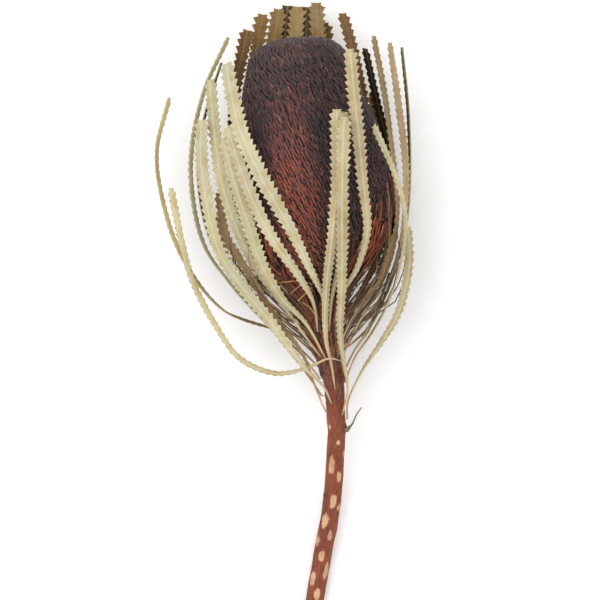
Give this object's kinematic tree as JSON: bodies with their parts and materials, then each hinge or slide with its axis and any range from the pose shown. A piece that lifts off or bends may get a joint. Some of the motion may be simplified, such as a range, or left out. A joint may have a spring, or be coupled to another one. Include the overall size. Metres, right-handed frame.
{
  "type": "dried banksia flower spike",
  "caption": "Dried banksia cone lying down: an acorn-shaped spike of packed flower buds in a whorl of long saw-edged leaves, on a bare scarred stem.",
  "frame": {"origin": "middle of the part's footprint, on the surface it lies on", "axes": "+Y along the stem from its cut end to the cone's tip, +X to the right of the face that the picture shows, +Z out of that face"},
  "size_m": [0.1036, 0.2588, 0.0809],
  "materials": {
    "bark": "matt red-brown bark with pale oval leaf scars",
    "flower_buds": "dry, velvety, maroon brown to rust",
    "dried_leaf": "cream felted underside, tan to olive-brown upper side"
  },
  "bodies": {
    "root": {"stem": "bark", "cone": "flower_buds", "leaf_01": "dried_leaf", "leaf_02": "dried_leaf", "leaf_03": "dried_leaf", "leaf_04": "dried_leaf", "leaf_05": "dried_leaf", "leaf_06": "dried_leaf", "leaf_07": "dried_leaf", "leaf_08": "dried_leaf", "leaf_09": "dried_leaf", "leaf_10": "dried_leaf", "leaf_11": "dried_leaf", "leaf_12": "dried_leaf", "leaf_13": "dried_leaf", "leaf_14": "dried_leaf", "leaf_15": "dried_leaf", "leaf_16": "dried_leaf", "leaf_17": "dried_leaf", "leaf_18": "dried_leaf", "leaf_19": "dried_leaf", "leaf_20": "dried_leaf", "leaf_21": "dried_leaf", "leaf_22": "dried_leaf", "leaf_23": "dried_leaf", "leaf_24": "dried_leaf", "leaf_25": "dried_leaf", "leaf_26": "dried_leaf", "leaf_27": "dried_leaf", "leaf_28": "dried_leaf", "leaf_29": "dried_leaf", "leaf_30": "dried_leaf", "leaf_31": "dried_leaf", "leaf_32": "dried_leaf", "leaf_33": "dried_leaf", "leaf_34": "dried_leaf", "leaf_35": "dried_leaf", "leaf_36": "dried_leaf"}
  },
  "joints": []
}
